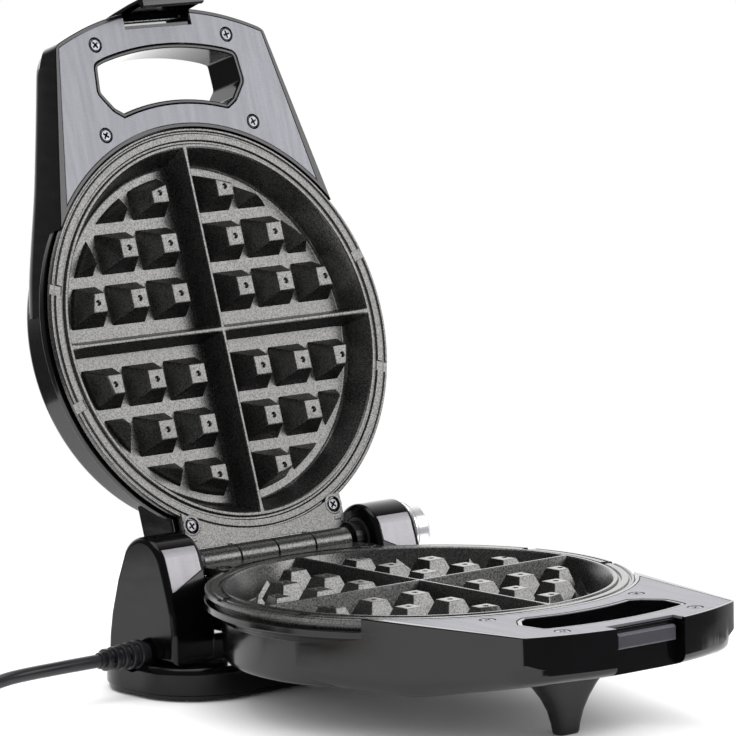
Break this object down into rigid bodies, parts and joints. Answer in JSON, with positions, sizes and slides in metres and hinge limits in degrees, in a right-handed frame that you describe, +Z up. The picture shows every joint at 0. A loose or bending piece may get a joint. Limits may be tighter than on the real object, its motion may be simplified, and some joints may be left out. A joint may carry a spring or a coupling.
{
  "type": "waffle maker",
  "caption": "Flip-type round waffle maker, standing open: two hinged grid plates in black housings with silver handle plates, between two towers on a base.",
  "frame": {"origin": "middle of the appliance's own box, without its cord, on the surface that it stands on", "axes": "+Z up; +X along the hinge axis towards the control dial; -Y from the hinge towards the lower handle"},
  "size_m": [0.396, 0.391, 0.3257],
  "materials": {
    "gloss_black": "glossy moulded",
    "dark_plastic": "fine texture",
    "silver_trim": "satin silver",
    "cast_coating": "non-stick coating, fine grain",
    "steel": "bright",
    "chrome": "polished",
    "reflector": "bright sheet",
    "element": "oxidised sheath",
    "rubber": "soft matt",
    "bushing": "natural moulded",
    "red_lens": "clear red",
    "green_lens": "clear green"
  },
  "bodies": {
    "base": {"left_tower": "gloss_black", "right_tower": "gloss_black", "base_tray": "gloss_black", "base_cover": "dark_plastic", "heat_regulator": "dark_plastic", "left_tower_trim": "silver_trim", "right_tower_trim": "silver_trim", "base_screw_1": "steel", "base_screw_2": "steel", "base_screw_3": "steel", "base_screw_4": "steel", "base_foot_1": "rubber", "base_foot_2": "rubber", "base_foot_3": "rubber", "base_foot_4": "rubber", "strain_relief": "rubber", "power_cord": "rubber", "cord_coil": "rubber", "cord_tail": "rubber", "cord_plug": "rubber", "left_bush": "bushing", "right_bush": "bushing", "terminal_block": "bushing"},
    "dial": {"control_dial": "chrome", "dial_shaft": "steel"},
    "lower_unit": {"lower_housing": "gloss_black", "lower_stand_leg": "gloss_black", "lower_handle_plate": "silver_trim", "catch_bar": "silver_trim", "lower_grid_plate": "cast_coating", "hinge_pin": "steel", "left_trunnion": "steel", "right_trunnion": "steel", "lower_handle_screw_1": "steel", "lower_handle_screw_2": "steel", "lower_handle_screw_3": "steel", "lower_handle_screw_4": "steel", "lower_plate_screw_1": "steel", "lower_plate_screw_2": "steel", "lower_heat_reflector": "reflector", "lower_heating_element": "element"},
    "lid": {"lid_housing": "gloss_black", "lid_stand_leg": "gloss_black", "lid_handle_plate": "silver_trim", "lid_grid_plate": "cast_coating", "latch_pin": "steel", "lid_handle_screw_1": "steel", "lid_handle_screw_2": "steel", "lid_handle_screw_3": "steel", "lid_handle_screw_4": "steel", "lid_plate_screw_1": "steel", "lid_plate_screw_2": "steel", "lid_heat_reflector": "reflector", "lid_heating_element": "element", "power_lamp": "red_lens", "ready_lamp": "green_lens"},
    "latch": {"latch": "gloss_black"}
  },
  "joints": [
    {"name": "flip", "type": "hinge", "parent": "base", "child": "lower_unit", "pos_m": [0, 0.07435, 0.059], "axis": [-1, 0, 0], "range_deg": [0, 72.7]},
    {"name": "lid_hinge", "type": "hinge", "parent": "lower_unit", "child": "lid", "pos_m": [0, 0.07435, 0.059], "axis": [1, 0, 0], "range_deg": [0, 107.3]},
    {"name": "latch_swing", "type": "hinge", "parent": "lid", "child": "latch", "pos_m": [0, 0.16276, 0.31258], "axis": [1, 0, 0], "range_deg": [0, 9]},
    {"name": "dial_turn", "type": "hinge", "parent": "base", "child": "dial", "pos_m": [0.083, 0.07435, 0.059], "axis": [1, 0, 0], "range_deg": [0, 270]}
  ]
}
